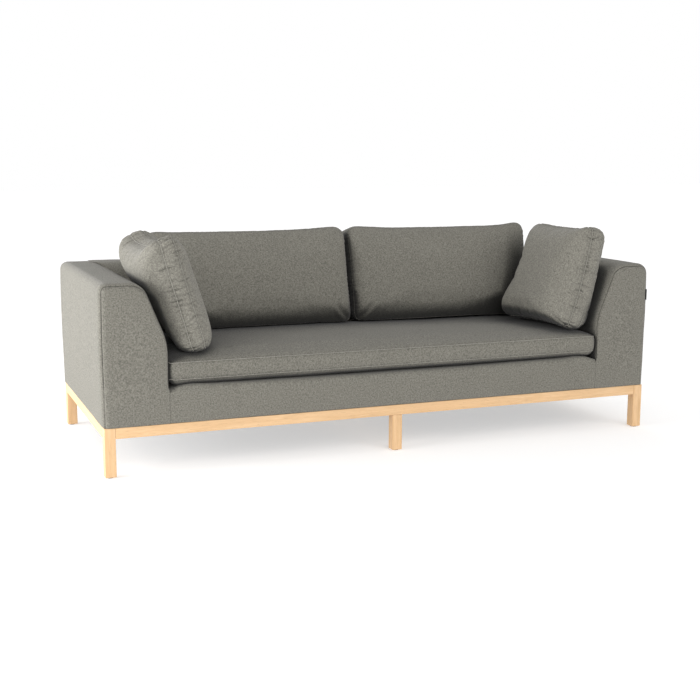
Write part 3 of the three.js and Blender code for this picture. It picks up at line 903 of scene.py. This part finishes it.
def spread(piece, shift, fixed, rounds):
    """Lets a push on some points carry the cloth around them along, less with every round."""
    keep = 0.985
    ends = np.zeros(len(piece.data.edges) * 2, np.int64)
    piece.data.edges.foreach_get("vertices", ends)
    ends = ends.reshape(-1, 2)
    degree = np.bincount(ends.ravel(), minlength=len(shift))[:, None]
    own = shift.copy()
    for _ in range(rounds):
        around = np.zeros_like(shift)
        np.add.at(around, ends[:, 0], shift[ends[:, 1]])
        np.add.at(around, ends[:, 1], shift[ends[:, 0]])
        shift = keep * around / degree
        shift[fixed] = own[fixed]
    return shift


def press(piece, onto, soft=0.012, rounds=30):
    """Flattens the piece where it would enter another. The contact's edge is that soft, and the
    push carries the cloth along for that many rounds."""
    other = points_of(onto)
    tree = BVHTree.FromPolygons([Vector(p) for p in other],
                                [tuple(f.vertices) for f in onto.data.polygons])
    low, high = other.min(0) - soft, other.max(0) + soft
    for spreading in (rounds, 0):
        points = points_of(piece)
        shift = np.zeros_like(points)
        for i in np.where(((points > low) & (points < high)).all(1))[0]:
            place, normal, _, _ = tree.find_nearest(Vector(points[i]))
            depth = (Vector(points[i]) - place).dot(normal) - CLEAR
            if depth < soft:
                t = depth / soft
                target = 0.0 if t < -1 else soft * (t + 1) ** 2 / 4
                shift[i] = np.array(normal) * (target - depth)
        pushed = np.linalg.norm(shift, axis=1) > 1e-7
        move_points(piece, points + spread(piece, shift, pushed, spreading))


def transform(piece, matrix):
    piece.data.transform(matrix)
    piece.data.update()


def sampled(path, step):
    """Points every `step` along a run of points, and the lengths at which they lie."""
    steps = np.linalg.norm(np.diff(path, axis=0), axis=1)
    lengths = np.concatenate([[0], np.cumsum(steps)])
    stops = np.linspace(0, lengths[-1], max(2, round(lengths[-1] / step)))
    return np.stack([np.interp(stops, lengths, path[:, i]) for i in range(3)], 1)


ZIP_BED = 0.0024  # how deep a zip lies in the gusset
ZIP_SHORTER = 0.14  # how much shorter it is than the side it lies in
# The tape's section: distance from its middle, and height.
TAPE = [(-0.0115, 0.0003), (-0.010, 0.0008), (0, 0.0011), (0.010, 0.0008),
        (0.0115, 0.0003), (0.0115, -0.0004), (0, -0.0002), (-0.0115, -0.0004)]


def add_block(made, middle, *edges):
    """A block in a bmesh about its middle, with those three edges."""
    axes = Matrix(edges).transposed().to_4x4()
    bmesh.ops.create_cube(made, size=1.0, matrix=Matrix.Translation(Vector(middle)) @ axes)


def add_zip(name, piece, middle_ring, edge_axis, edge_sign, side_length):
    """A zip along the middle of one long side of the gusset: tapes, teeth, slider and puller."""
    length = side_length - ZIP_SHORTER
    points, normals = points_of(piece), normals_of(piece)
    run = points[middle_ring]
    along_x = 1 if name.endswith("throw_cushion") else 0
    centre = points.mean(0)
    facing = edge_sign * (run[:, edge_axis] - centre[edge_axis])
    reach = np.abs(run[:, along_x] - centre[along_x])
    chosen = middle_ring[(facing > 0.8 * facing.max()) & (reach < length / 2)]
    chosen = chosen[np.argsort(points[chosen, along_x])]
    _, away = nearest(points, points[chosen])
    out = normals[chosen].mean(0)
    out /= np.linalg.norm(out)
    move_points(piece, points - out * (ZIP_BED * (1 - smooth_step(away, 0.011, 0.019)))[:, None])
    path = sampled(points_of(piece)[chosen], 0.004)
    ahead = np.gradient(path, axis=0)
    ahead /= np.linalg.norm(ahead, axis=1)[:, None]
    across = np.cross(out, ahead)
    tape = [[p + c * a + out * h for a, h in TAPE] for p, c in zip(path, across)]
    tape_points, faces = lofted(tape, flip=True)
    mesh_piece(f"{name}_zip_tape", tape_points, faces, ZIP_TAPE, name)
    made = bmesh.new()
    sides = np.resize([1, -1], len(path))
    for p, t, c, side in zip(path, ahead, across, sides):
        add_block(made, p + c * side * 0.0008 + out * 0.0012, t * 0.0022, c * 0.0032, out * 0.0012)
    # near the zip's end, the slider's body in two steps, and the puller that lies flat beside it
    slider = 4
    for shift, long, wide, thick, rise in (
        (0.0, 0.0104, 0.0078, 0.0016, 0.0012),
        (0.0, 0.0060, 0.0030, 0.0010, 0.0021),
        (0.0125, 0.0170, 0.0052, 0.0008, 0.0018),
    ):
        middle = path[slider] + ahead[slider] * shift + out * rise
        add_block(made, middle, ahead[slider] * long, across[slider] * wide, out * thick)
    bmesh.ops.bevel(made, geom=made.edges[:], offset=0.0003, segments=2, affect="EDGES")
    mesh = bpy.data.meshes.new(f"{name}_zip_teeth")
    made.to_mesh(mesh)
    made.free()
    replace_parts(new_piece(mesh, ZIP, name), f"{name}_zip")


def finish_cushion(name, piece, rings, cord, seam_look, zip_side):
    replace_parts(piece, f"{name}_cover", f"{name}_core")
    add_zip(name, piece, rings[2], *zip_side)
    points = points_of(piece)
    for label, seam in zip(("front", "rear"), rings):
        cords = tube(f"{name}_{label}_seam", points[seam], cord, seam_look, name)
        # painted shade where the cord lies close to its cushion
        paint_shade_within(cords, 2 * cord)


def new_cushion(name, look, size, radius, crowns, step, bow, tuck, **filling):
    """A filled cushion's pad about the middle of the frame, its seams and its gusset's middle."""
    points, faces, rings = box_cushion(*size, radius, crowns, step, bow, tuck)
    piece = mesh_piece(f"{name}_pad", points, faces, look, name)
    inflate(piece, rings[:2], **filling)
    return piece, rings


def settle(piece, rings, rests_on):
    """Presses the cushion against what it rests on, refines it, and draws it in along its seams.
    Returns their paths."""
    for other in rests_on:
        press(piece, other)
    subdivide(piece)
    paths = [points_of(piece)[ring] for ring in rings[:2]]
    sink_seams(piece, paths)
    return paths


def add_seat_cushion(platform):
    name = "seat_cushion"
    low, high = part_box(f"{name}_cover")
    size = (high.x - low.x + 0.002, high.y - low.y, 0.062)

    def top(u, v):
        return 0.031 * crown_of(u, v, 14, 6, 0.6)

    def underside(u, v):
        """Turned under in a small roll, then flat on the platform."""
        return 0.026 * np.sqrt((1 - np.abs(u) ** 60) * (1 - np.abs(v) ** 28))

    piece, rings = new_cushion(name, CLOTH_PAINTED_SHADE, size, radius=0.018, crowns=(top, underside),
                               step=0.0106, bow=0.003, tuck=(0.0, 0.0),
                               pressure=3.0, slack=0.006, stop=10, cap=0.004)
    middle = Vector((0, (low.y + high.y) / 2, low.z + 0.055))
    transform(piece, Matrix.Translation(middle))
    points = points_of(piece)
    # its top is sat down towards the right and towards the rear
    right_fall, rear_fall = 0.008, 0.006
    upper = smooth_step(points[:, 2], 0.41, 0.435)
    points[:, 2] -= right_fall * upper * smooth_step(points[:, 0], -0.1, 0.5)
    points[:, 2] -= rear_fall * upper * smooth_step(points[:, 1], -0.25, 0.0)
    move_points(piece, points)
    press(piece, platform, 0.006, rounds=0)
    subdivide(piece)
    soften(piece, 0.0012, 0.11, 8, 0.0004)
    paths = [points_of(piece)[ring] for ring in rings[:2]]
    sink_seams(piece, paths, 0.0010, 0.005)
    gather(piece, paths, seed=31, spacing=0.035, reach=0.012, depth=0.0005)
    # its painted shade reaches furthest towards its left end, where it lies deepest in shade
    paint_shade_within(piece, 0.45 - 0.20 * smooth_step(points_of(piece)[:, 0], -0.6, -0.1))
    finish_cushion(name, piece, rings, 0.0016, SEAM_CLOTH_PAINTED_HIGHLIGHT, (1, 1, size[0]))
    return piece


def side_runs(place, ahead):
    """Full where a back cushion's seam runs up or down, and slight along its top and bottom."""
    return 0.12 + 0.88 * smooth_step(abs(ahead[2]) / np.linalg.norm(ahead), 0.5, 0.9)


# How a back cushion stands in for its CAD one: "wider" and "aside" by how much, "far_ear" how far
# its outer top corner stands up, and "shaded" where the painted shade on its outer end begins to
# grow.
BACKS = {
    "left": {"wider": 0.006, "aside": 0.0, "far_ear": 0.003, "shaded": (0.45, 0.80)},
    "right": {"wider": 0.012, "aside": 0.008, "far_ear": 0.013, "shaded": (0.66, 0.88)},
}


def add_back_cushion(side_name, rests_on):
    side = SIDES[side_name]
    name = f"{side_name}_back_cushion"
    given = BACKS[side_name]
    low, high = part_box(f"{name}_cover")
    size = (high.x - low.x + given["wider"], 0.402, 0.11)

    def face(rise):
        """Rolls off gently at the outer end, and more sharply beside the other cushion."""
        return lambda u, v: rise * crown_of(u, v, np.where(u * side > 0, 3.2, 30), 3.4, 0.68)

    piece, rings = new_cushion(name, CLOTH_PAINTED_SHADE, size, radius=0.048,
                               crowns=(face(0.052), face(0.048)), step=0.0078, bow=0.001,
                               tuck=(0.006, 0.004), pressure=5.0, slack=0.004, stop=12, cap=0.008)
    points = points_of(piece)
    # its top falls away behind its front seam, as the cushion leans back
    behind = size[2] / 2 - points[:, 2]
    points[:, 1] -= behind * 0.20 * smooth_step(points[:, 1], -0.05, size[1] / 2)
    # the corners of a soft cushion stand out as ears, and its top sags between them
    u, v = points[:, 0] / (size[0] / 2), points[:, 1] / (size[1] / 2)
    for end, ear, width in ((side, given["far_ear"], 0.17), (-side, 0.008, 0.35)):
        points[:, 1] += ear * np.exp(-((1 - end * u) / width) ** 2) * smooth_step(v, 0.3, 1.0)
    move_points(piece, points)
    # stood up, leant back from its foot, and set down behind the seat's middle
    upright = Matrix(((1, 0, 0, 0), (0, 0, -1, 0), (0, 1, 0, 0), (0, 0, 0, 1)))
    lean = Matrix(((1, 0, 0, 0), (0, 1, math.tan(BACK_LEAN), 0), (0, 0, 1, 0), (0, 0, 0, 1)))
    raised = Matrix.Translation((0, 0, size[1] / 2))
    foot = Vector(((low.x + high.x) / 2 + given["aside"], 0.127, low.z - 0.0105))
    transform(piece, Matrix.Translation(foot) @ lean @ raised @ upright)
    paths = settle(piece, rings, rests_on)
    gather(piece, paths, 41 + side, 0.013, 0.016, 0.0034, 0.0038, side_runs)
    soften(piece, 0.0012, 0.09, 12 + side, 0.0004)
    # two creases cross at the lower corner beside the other cushion
    inner_x = (low.x if side > 0 else high.x) + side * 0.006
    for reach, height, rise in ((0.045, 0.012, 0.030), (0.030, 0.030, -0.018)):
        corner = Vector((inner_x, 0.045, low.z + height))
        fold(piece, corner, corner + Vector((side * reach, -0.022, rise)), 0.0030, 0.0045)
    # painted shade near the seat and beside the throw cushion, where it lies in shade
    points = points_of(piece)
    base = 0.035
    low_painted_shade_reach = base + 0.16 * (1 - smooth_step(points[:, 2], low.z + 0.02, low.z + 0.15))
    end_painted_shade_reach = base + 0.18 * smooth_step(points[:, 0] * side, *given["shaded"])
    paint_shade_within(piece, np.maximum(low_painted_shade_reach, end_painted_shade_reach))
    finish_cushion(name, piece, rings, 0.0012, CLOTH_PAINTED_SHADE, (2, -1, size[0]))
    return piece


def steep(u, v):
    """1 over most of a face, and down to its seams in a small roll."""
    return np.sqrt((1 - np.abs(u) ** 10) * (1 - np.abs(v) ** 10))


def left_outer_crown(u, v):
    """Kept flatter beside the arm, and swollen over the arm's top."""
    swollen = 0.034 * smooth_step(v, 0.06, 0.50)
    bulge = swollen * (1 - np.abs(u) ** 2.8) ** 0.7 * (1 - np.abs(v) ** 7) ** 0.5
    return (0.054 + 0.008 * v) * steep(u, v) + bulge


def right_outer_crown(u, v):
    return (0.035 - 0.011 * v) * steep(u, v) + 0.012 * (1 - u ** 2) * (1 - v ** 2)


def left_inner_crown(u, v):
    return 0.036 * steep(u, v) + 0.018 * (1 - u ** 2) * (1 - v ** 2)


def right_inner_crown(u, v):
    """Fuller low down, where the filling has settled."""
    across, up = np.where(u > 0, 4.5, 3.4), np.where(v < 0, 8, 4.5)
    return 0.026 * steep(u, v) + (0.078 - 0.022 * v) * crown_of(u, v, across, up, 0.6)


# "middle" is where each stands and "lean" its angle against the arm. "twist" gives how far its
# bottom and its top are turned about the front edge, in degrees, "ears" and "heel" how far the
# front and rear top corners and the rear bottom one stand out, "sag" how far its top sinks
# between them, "bend" how far its middle is bent outwards, "pleats" their depth along its two
# seams, and "low_painted_shade_reach" how much further its lower end looks for what would shade it,
# for the painted shade there.
THROWS = {
    "left": {
        "middle": (-0.8315, -0.231, 0.628), "lean": 15.9, "twist": (-7, 3), "sag": 0.002,
        "ears": (0.034, 0.036), "heel": 0.0, "bend": 0.0, "gusset": 0.046, "radius": 0.046,
        "pleats": (0.0032, 0.0040), "low_painted_shade_reach": 0.03,
        "crowns": (left_inner_crown, left_outer_crown),
    },
    "right": {
        "middle": (0.853, -0.224, 0.633), "lean": 14.5, "twist": (4, 0), "sag": 0.0,
        "ears": (0.014, 0.006), "heel": 0.016, "bend": 0.017, "gusset": 0.052, "radius": 0.030,
        "pleats": (0.0012, 0.0038), "low_painted_shade_reach": 0.16,
        "crowns": (right_outer_crown, right_inner_crown),
    },
}


def twist_cushion(piece, twist, ears, heel):
    """Turns the cushion about its front edge, more or less with height, and draws corners out."""
    points = points_of(piece)
    half_width, half_height = THROW_SIZE[0] / 2, THROW_SIZE[1] / 2
    u, v = points[:, 0] / half_width, points[:, 1] / half_height
    for sign, ear in zip((-1, 1), ears):
        near = np.exp(-((1 - sign * u) / 0.32) ** 2) * smooth_step(v, 0.25, 1.0)
        points[:, 1] += ear * near
        points[:, 0] += sign * 0.3 * ear * near
    low = np.exp(-((1 - u) / 0.5) ** 2) * smooth_step(-v, 0.0, 1.0)
    points[:, 0] += heel * low
    points[:, 1] -= 0.8 * heel * low
    angle = np.radians(twist[0] + (twist[1] - twist[0]) * (v + 1) / 2)
    back = points[:, 0] + half_width
    turned = back * np.cos(angle) + points[:, 2] * np.sin(angle)
    points[:, 2] = points[:, 2] * np.cos(angle) - back * np.sin(angle)
    points[:, 0] = turned - half_width
    move_points(piece, points)


def add_throw_cushion(side_name, rests_on):
    side = SIDES[side_name]
    name = f"{side_name}_throw_cushion"
    given = THROWS[side_name]
    size = (*THROW_SIZE, given["gusset"])
    piece, rings = new_cushion(name, THROW_CLOTH_PAINTED_LIGHT, size, given["radius"], given["crowns"],
                               step=0.0052, bow=0.002, tuck=(0.004, given["sag"]),
                               pressure=5.0, slack=0.025, stop=16, cap=0.007, bend=0.3)
    twist_cushion(piece, given["twist"], given["ears"], given["heel"])
    points = points_of(piece)
    points[:, 2] += given["bend"] * (1 - (points[:, 1] / THROW_SIZE[1] * 2) ** 2)
    move_points(piece, points)
    upright = Matrix(((0, 0, 1, 0), (1, 0, 0, 0), (0, 1, 0, 0), (0, 0, 0, 1)))
    lean = Matrix.Rotation(math.radians(side * given["lean"]), 4, "Y")
    transform(piece, Matrix.Translation(given["middle"]) @ lean @ upright)
    paths = settle(piece, rings, rests_on)
    for path, deep, seed in zip(paths, given["pleats"], (51 + side, 61 + side)):
        gather(piece, [path], seed, 0.017, 0.027, deep, 0.0034)
    soften(piece, 0.0012, 0.07, 22 + side, 0.0005)
    height = points_of(piece)[:, 2]
    # painted shade where other pieces stand near, reaching further at its lower end
    paint_shade_within(piece, 0.028 + given["low_painted_shade_reach"] * (1 - smooth_step(height, 0.45, 0.56)))
    finish_cushion(name, piece, rings, 0.0019, SEAM_CLOTH_PAINTED_HIGHLIGHT, (2, -1, THROW_SIZE[0]))
    return piece


def add_tag():
    """A blank ribbon folded in half and sewn into the arm's front edge."""
    low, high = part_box("side_tag")
    root, tip = Vector((low.x, high.y, 0)), Vector((high.x, low.y, 0))
    along = (tip - root).normalized()
    across = Vector((-along.y, along.x, 0))
    long, half = (tip - root).length - 0.005, 0.00028  # half of the ribbon's thickness
    profile = [(long * k / 10, (1.6 + 0.8 * math.sin(k / 10 * math.pi)) * half) for k in range(10)]
    turned = [(long + 1.2 * half * math.cos(a), 1.6 * half * math.sin(a))
              for a in np.radians([80, 50, 20, -20, -50, -80])]
    outline = profile + turned + [(x, -y) for x, y in profile[::-1]]
    rings = []
    for z in np.linspace(low.z, high.z, 24):
        wave = 0.0004 * math.sin((z - low.z) * 160)
        rings.append([root + along * x + across * (y + wave * x / long) + Vector((0, 0, z))
                      for x, y in outline])
    points, faces = lofted([[tuple(p) for p in ring] for ring in rings], flip=True)
    tag = mesh_piece("tag_ribbon", points, faces, TAG, "sofa_body")
    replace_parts(tag, "side_tag")


# ---- stage -----------------------------------------------------------------------------------


def add_camera():
    """Its place and angles are those of the fitted pinhole camera."""
    yaw, pitch, roll = (math.radians(a) for a in (21.83, 9.69, 0.22))
    level = math.cos(pitch)
    ahead = Vector((math.sin(yaw) * level, math.cos(yaw) * level, -math.sin(pitch)))
    right = Vector((math.cos(yaw), -math.sin(yaw), 0))
    up = right.cross(ahead)
    right, up = (math.cos(roll) * right + math.sin(roll) * up,
                 math.cos(roll) * up - math.sin(roll) * right)
    camera = bpy.data.objects.new("camera", bpy.data.cameras.new("camera"))
    camera.data.sensor_width = 36
    camera.data.lens = 59.82
    axes = Matrix((right, up, -ahead)).transposed().to_4x4()
    camera.matrix_world = Matrix.Translation((-1.8180, -4.5022, 1.1539)) @ axes
    scene.collection.objects.link(camera)
    scene.camera = camera


def add_lamp(name, kind, energy, place, target):
    light = bpy.data.lights.new(name, kind)
    light.energy = energy
    lamp = bpy.data.objects.new(name, light)
    lamp.location = place
    lamp.rotation_euler = (Vector(target) - Vector(place)).to_track_quat("-Z", "Y").to_euler()
    scene.collection.objects.link(lamp)
    return light


def add_panel(name, place, target, size, power):
    """A softbox at its place, turned to its target."""
    light = add_lamp(name, "AREA", power, place, target)
    light.shape = "RECTANGLE"
    light.size, light.size_y = size


def add_sun(name, heading, height, spread, strength):
    """Soft light from far away: its heading is in degrees from the front, turning right."""
    heading, height = math.radians(heading), math.radians(height)
    place = (math.sin(heading) * math.cos(height), -math.cos(heading) * math.cos(height),
             math.sin(height))
    add_lamp(name, "SUN", strength, place, (0, 0, 0)).angle = math.radians(spread)


def add_floor():
    """A pale floor that glows a little, as a lit studio sweep does."""
    look = Look("floor", 0.9, Specular_IOR_Level=0.1, Emission_Color=(1, 1, 1, 1),
                Emission_Strength=0.47)
    fleck = look.noise(2.0, 2)
    look.finish(look.ramp(fleck, (0.3, (0.66, 0.66, 0.66)), (0.7, (0.68, 0.68, 0.68))))
    bpy.ops.mesh.primitive_plane_add(size=60)
    floor = bpy.context.object
    floor.name = "floor"
    floor.data.materials.append(look.material)


def add_world():
    """An even white surround, brighter where the camera sees it than in the light it gives."""
    world = bpy.data.worlds.new("studio")
    scene.world = world
    world.use_nodes = True
    tree = world.node_tree
    lit, backdrop = tree.nodes["Background"], tree.nodes.new("ShaderNodeBackground")
    mix = tree.nodes.new("ShaderNodeMixShader")
    for index, (background, strength) in enumerate(((lit, 0.56), (backdrop, 1.0)), start=1):
        background.inputs["Color"].default_value = (1, 1, 1, 1)
        background.inputs["Strength"].default_value = strength
        tree.links.new(background.outputs["Background"], mix.inputs[index])
    seen = tree.nodes.new("ShaderNodeLightPath")
    tree.links.new(seen.outputs["Is Camera Ray"], mix.inputs["Fac"])
    tree.links.new(mix.outputs["Shader"], tree.nodes["World Output"].inputs["Surface"])


add_camera()
dress_frame()
add_timber_base()
add_dust_sheet()
arms = {name: add_arm(name) for name in SIDES}
backrest = add_backrest()
platform = add_seat_platform()
seat = add_seat_cushion(platform)
backs = {name: add_back_cushion(name, (backrest, seat, arms[name])) for name in SIDES}
for side in SIDES:
    add_throw_cushion(side, (arms[side], seat, backs[side]))
add_tag()
add_floor()
add_world()
add_panel("left_rear", (-3.4, 0.9, 0.5), (-1.1, 0, 0.4), (1.4, 0.7), 49)
add_panel("left_low", (-3.6, -1.2, 0.75), (-1.1, 0, 0.4), (1.6, 1.0), 48)
add_panel("left_high", (-4.0, 0.2, 1.6), (-0.9, 0, 0.5), (2.0, 1.6), 40)
add_sun("front", 5, 25, 60, 1.69)
add_sun("rear", 190, 8, 60, 1.1)
scene.view_settings.view_transform = "Standard"
